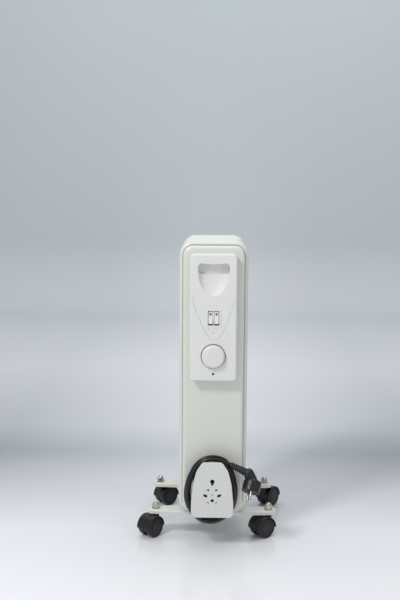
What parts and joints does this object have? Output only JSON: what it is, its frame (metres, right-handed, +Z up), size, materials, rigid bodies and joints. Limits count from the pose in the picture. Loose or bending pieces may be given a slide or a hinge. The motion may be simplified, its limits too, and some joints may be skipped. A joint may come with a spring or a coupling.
{
  "type": "oil filled radiator heater",
  "caption": "Upright finned oil radiator on swivel casters with a front control housing, rocker switches, thermostat knob and cord winder.",
  "frame": {"origin": "on the floor under the middle of the heater, its free cord and plug left out", "axes": "+Z up, front with the controls towards -Y, +X to the right seen from the front"},
  "size_m": [0.3278, 0.333, 0.6476],
  "materials": {
    "enamel": "satin baked enamel",
    "housing_plastic": "fine matt moulded",
    "winder_plastic": "fine matt moulded",
    "oil": null,
    "steel": "plain",
    "zinc": "zinc plated",
    "seal": "matt",
    "black_plastic": "satin moulded",
    "inner_plastic": "phenolic moulding",
    "lamp": "unlit lens",
    "cord": "satin sheath",
    "nickel": "nickel plated"
  },
  "bodies": {
    "root": {"acorn_nuts": "zinc", "caster_stems": "zinc", "control_housing": "housing_plastic", "cord_coil": "cord", "cord_gland": "black_plastic", "cord_lead_in": "cord", "cord_tail": "cord", "cover_standoffs": "steel", "element_gasket": "seal", "fin_1": "enamel", "fin_2": "enamel", "fin_3": "enamel", "fin_4": "enamel", "fin_5": "enamel", "fin_6": "enamel", "fin_7": "enamel", "foot_brackets": "enamel", "front_cover": "enamel", "heating_element": "steel", "internal_wiring": "cord", "oil_fill": "oil", "oil_filler_plug": "steel", "panel_screws": "zinc", "pilot_lamp": "lamp", "plug_body": "cord", "plug_earth_clips": "nickel", "plug_pins": "nickel", "plug_strain_relief": "cord", "rocker_pin": "steel", "stem_washers": "zinc", "switch_bezel": "housing_plastic", "switch_body": "inner_plastic", "terminal_block": "inner_plastic", "thermal_cutout": "steel", "thermostat_body": "inner_plastic", "u_bolts": "steel", "winder_flange": "winder_plastic", "winder_hub": "winder_plastic", "winder_screws": "zinc", "wing_nuts": "zinc"},
    "knob": {"thermostat_knob": "housing_plastic", "thermostat_spindle": "steel"},
    "left_rocker": {"rocker_left": "housing_plastic"},
    "right_rocker": {"rocker_right": "housing_plastic"},
    "caster_front_left": {"caster_hood_front_left": "black_plastic", "caster_axle_front_left": "steel"},
    "wheel_front_left_a": {"caster_wheel_front_left_a": "black_plastic"},
    "wheel_front_left_b": {"caster_wheel_front_left_b": "black_plastic"},
    "caster_front_right": {"caster_hood_front_right": "black_plastic", "caster_axle_front_right": "steel"},
    "wheel_front_right_a": {"caster_wheel_front_right_a": "black_plastic"},
    "wheel_front_right_b": {"caster_wheel_front_right_b": "black_plastic"},
    "caster_rear_left": {"caster_hood_rear_left": "black_plastic", "caster_axle_rear_left": "steel"},
    "wheel_rear_left_a": {"caster_wheel_rear_left_a": "black_plastic"},
    "wheel_rear_left_b": {"caster_wheel_rear_left_b": "black_plastic"},
    "caster_rear_right": {"caster_hood_rear_right": "black_plastic", "caster_axle_rear_right": "steel"},
    "wheel_rear_right_a": {"caster_wheel_rear_right_a": "black_plastic"},
    "wheel_rear_right_b": {"caster_wheel_rear_right_b": "black_plastic"}
  },
  "joints": [
    {"name": "knob_turn", "type": "hinge", "parent": "root", "child": "knob", "pos_m": [0, -0.14026, 0.412], "axis": [0, 1, 0], "range_deg": [0, 300]},
    {"name": "rocker_left_tilt", "type": "hinge", "parent": "root", "child": "left_rocker", "pos_m": [-0.0062, -0.13106, 0.493], "axis": [1, 0, 0], "range_deg": [0, 16]},
    {"name": "rocker_right_tilt", "type": "hinge", "parent": "root", "child": "right_rocker", "pos_m": [0.0062, -0.13106, 0.493], "axis": [1, 0, 0], "range_deg": [0, 16]},
    {"name": "swivel_front_left", "type": "hinge", "parent": "root", "child": "caster_front_left", "pos_m": [-0.1239, -0.06266, 0.045], "axis": [0, 0, 1], "continuous": true},
    {"name": "spin_front_left_a", "type": "hinge", "parent": "caster_front_left", "child": "wheel_front_left_a", "pos_m": [-0.14362, -0.06875, 0.0215], "axis": [-0.7848, 0.6198, 0], "continuous": true},
    {"name": "spin_front_left_b", "type": "hinge", "parent": "caster_front_left", "child": "wheel_front_left_b", "pos_m": [-0.12526, -0.08325, 0.0215], "axis": [-0.7848, 0.6198, 0], "continuous": true},
    {"name": "swivel_front_right", "type": "hinge", "parent": "root", "child": "caster_front_right", "pos_m": [0.1239, -0.06266, 0.045], "axis": [0, 0, 1], "continuous": true},
    {"name": "spin_front_right_a", "type": "hinge", "parent": "caster_front_right", "child": "wheel_front_right_a", "pos_m": [0.10327, -0.06315, 0.0215], "axis": [-0.5861, 0.8102, 0], "continuous": true},
    {"name": "spin_front_right_b", "type": "hinge", "parent": "caster_front_right", "child": "wheel_front_right_b", "pos_m": [0.11698, -0.0821, 0.0215], "axis": [-0.5861, 0.8102, 0], "continuous": true},
    {"name": "swivel_rear_left", "type": "hinge", "parent": "root", "child": "caster_rear_left", "pos_m": [-0.1239, 0.11334, 0.045], "axis": [0, 0, 1], "continuous": true},
    {"name": "spin_rear_left_a", "type": "hinge", "parent": "caster_rear_left", "child": "wheel_rear_left_a", "pos_m": [-0.10338, 0.1155, 0.0215], "axis": [0.65, -0.76, 0], "continuous": true},
    {"name": "spin_rear_left_b", "type": "hinge", "parent": "caster_rear_left", "child": "wheel_rear_left_b", "pos_m": [-0.11858, 0.13328, 0.0215], "axis": [0.65, -0.76, 0], "continuous": true},
    {"name": "swivel_rear_right", "type": "hinge", "parent": "root", "child": "caster_rear_right", "pos_m": [0.1239, 0.11334, 0.045], "axis": [0, 0, 1], "continuous": true},
    {"name": "spin_rear_right_a", "type": "hinge", "parent": "caster_rear_right", "child": "wheel_rear_right_a", "pos_m": [0.14362, 0.11943, 0.0215], "axis": [0.7848, -0.6198, 0], "continuous": true},
    {"name": "spin_rear_right_b", "type": "hinge", "parent": "caster_rear_right", "child": "wheel_rear_right_b", "pos_m": [0.12526, 0.13393, 0.0215], "axis": [0.7848, -0.6198, 0], "continuous": true}
  ]
}
